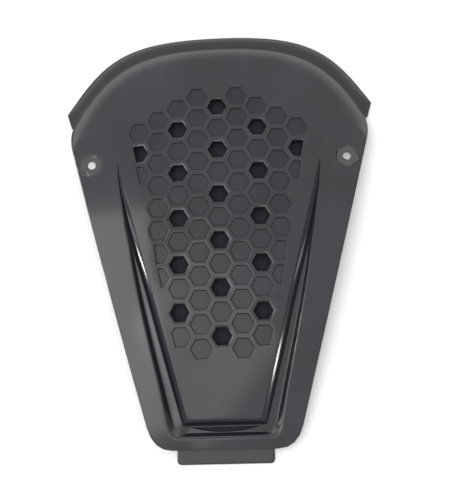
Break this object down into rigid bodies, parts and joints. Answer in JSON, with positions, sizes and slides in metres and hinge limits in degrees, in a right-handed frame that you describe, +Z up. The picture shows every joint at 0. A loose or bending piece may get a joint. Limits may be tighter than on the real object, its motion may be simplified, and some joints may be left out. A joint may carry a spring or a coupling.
{
  "type": "back protector insert",
  "caption": "Domed hard-shell back protector insert, wide at the neck and narrow at the waist, with hexagon vents, a channel round the middle panel, a mesh pad and a backing liner.",
  "frame": {"origin": "centre of the bounding box at its base, the plane that the wing tips and the waist tab lie on", "axes": "+Z up, out of the hard outer face; +Y from the waist tab to the neck edge; +X to the right when the outer face is looked at with the neck edge up"},
  "size_m": [0.2922, 0.3956, 0.0289],
  "materials": {
    "shell_plastic": "moulded, satin, fine grain",
    "pad_mesh": "knitted mesh over thin foam",
    "liner_sheet": "moulded, matt"
  },
  "bodies": {
    "root": {"outer_shell": "shell_plastic", "mesh_pad": "pad_mesh", "backing_liner": "liner_sheet"}
  },
  "joints": []
}
